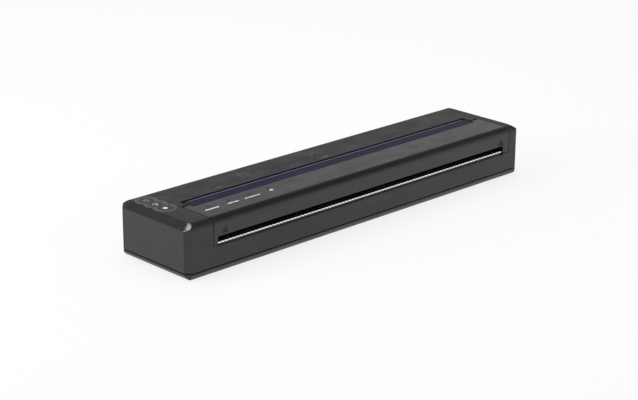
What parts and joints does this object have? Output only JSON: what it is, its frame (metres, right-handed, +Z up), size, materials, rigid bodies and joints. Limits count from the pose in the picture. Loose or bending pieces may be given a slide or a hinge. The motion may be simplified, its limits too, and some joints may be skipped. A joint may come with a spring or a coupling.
{
  "type": "portable thermal printer",
  "caption": "Bar-shaped portable page-width thermal printer with a hinged release cover, paper slots, tear bar, three keys and a rear battery pack.",
  "frame": {"origin": "under the middle of the case, on the surface that the feet rest on", "axes": "+X along the length with the keys at -X, -Y towards the paper outlet, +Z up"},
  "size_m": [0.255, 0.055, 0.03],
  "materials": {
    "charcoal_plastic": "fine sand-blasted mould texture",
    "cover_plastic": "fine sand-blasted mould texture",
    "inner_plastic": "plain moulded",
    "navy_strip": "satin",
    "key_gloss": "satin",
    "key_plastic": "satin",
    "lamp_plastic": "clear, diffusing",
    "circuit_board": "green solder mask",
    "board_parts": "moulded",
    "steel_sheet": "plated",
    "bright_steel": "ground",
    "screw_steel": "blackened",
    "black_rubber": "matt",
    "gear_plastic": "natural acetal",
    "brass_metal": "cut",
    "head_aluminium": "extruded",
    "head_ceramic": "glazed",
    "head_resin": "potting resin",
    "cable_film": "polyimide film",
    "cell_wrap": "shrink wrap"
  },
  "bodies": {
    "case": {"battery_terminals": "board_parts", "board_components": "board_parts", "board_screws": "screw_steel", "bottom_tray": "charcoal_plastic", "case_screws": "screw_steel", "chassis_frame": "steel_sheet", "chassis_screws": "screw_steel", "gear_studs": "bright_steel", "head_pivot_pins": "bright_steel", "head_ribbon": "cable_film", "head_springs": "bright_steel", "inlet_guide": "inner_plastic", "key_board": "circuit_board", "key_switches": "board_parts", "keypad_bezel": "key_gloss", "main_board": "circuit_board", "motor_can": "steel_sheet", "motor_screws": "screw_steel", "outlet_guide": "inner_plastic", "port_board": "circuit_board", "power_socket": "gear_plastic", "rubber_feet": "black_rubber", "tear_bar": "bright_steel", "upper_case": "charcoal_plastic", "usb_socket": "steel_sheet"},
    "cover": {"release_cover": "cover_plastic", "cover_inner_frame": "inner_plastic", "slot_strip": "navy_strip", "hinge_pins": "bright_steel", "indicator_light_pipes": "lamp_plastic", "indicator_board": "circuit_board", "platen_bushings": "gear_plastic", "cover_screws": "screw_steel"},
    "platen": {"platen_shaft": "bright_steel", "platen_rubber": "black_rubber", "platen_gear": "gear_plastic"},
    "idler": {"idler_gear": "gear_plastic"},
    "reduction": {"reduction_gear": "gear_plastic"},
    "motor_rotor": {"motor_shaft": "bright_steel", "motor_pinion": "brass_metal"},
    "head": {"head_heatsink": "head_aluminium", "head_substrate": "head_ceramic", "head_driver_cover": "head_resin", "head_connector": "board_parts"},
    "power_button": {"power_key": "key_plastic"},
    "feed_button": {"feed_key": "key_plastic"},
    "function_button": {"function_key": "key_plastic"},
    "battery": {"battery_casing": "charcoal_plastic", "battery_lid": "charcoal_plastic", "battery_cells": "cell_wrap"}
  },
  "joints": [
    {"name": "cover_hinge", "type": "hinge", "parent": "case", "child": "cover", "pos_m": [0.0039, -0.004, 0.0283], "axis": [-1, 0, 0], "range_deg": [0, 80]},
    {"name": "platen_spin", "type": "hinge", "parent": "cover", "child": "platen", "pos_m": [0, -0.012, 0.02], "axis": [1, 0, 0], "continuous": true},
    {"name": "idler_spin", "type": "hinge", "parent": "case", "child": "idler", "pos_m": [0.1144, -0.00372, 0.01202], "axis": [1, 0, 0], "continuous": true},
    {"name": "reduction_spin", "type": "hinge", "parent": "case", "child": "reduction", "pos_m": [0.1156, 0.00457, 0.01761], "axis": [1, 0, 0], "continuous": true},
    {"name": "motor_spin", "type": "hinge", "parent": "case", "child": "motor_rotor", "pos_m": [0.112, 0.01518, 0.01471], "axis": [1, 0, 0], "continuous": true},
    {"name": "head_pivot", "type": "hinge", "parent": "case", "child": "head", "pos_m": [0, -0.00172, 0.01885], "axis": [1, 0, 0], "range_deg": [0, 4], "stiffness_Nm_per_rad": 1, "springref_deg": -5.73, "deforming": ["head_springs", "head_ribbon"]},
    {"name": "power_key_press", "type": "slide", "parent": "case", "child": "power_button", "axis": [0, 0, -1], "range_m": [0, 0.0005], "stiffness_N_per_m": 400, "springref_m": -0.0003},
    {"name": "feed_key_press", "type": "slide", "parent": "case", "child": "feed_button", "axis": [0, 0, -1], "range_m": [0, 0.0005], "stiffness_N_per_m": 400, "springref_m": -0.0003},
    {"name": "function_key_press", "type": "slide", "parent": "case", "child": "function_button", "axis": [0, 0, -1], "range_m": [0, 0.0005], "stiffness_N_per_m": 400, "springref_m": -0.0003},
    {"name": "battery_slide", "type": "slide", "parent": "case", "child": "battery", "axis": [0, 1, 0], "range_m": [0, 0.025]}
  ],
  "couplings": [
    {"joint": "idler_spin", "follows": "platen_spin", "ratio": -0.91667},
    {"joint": "reduction_spin", "follows": "platen_spin", "ratio": 1.375},
    {"joint": "motor_spin", "follows": "platen_spin", "ratio": -3.6667}
  ]
}
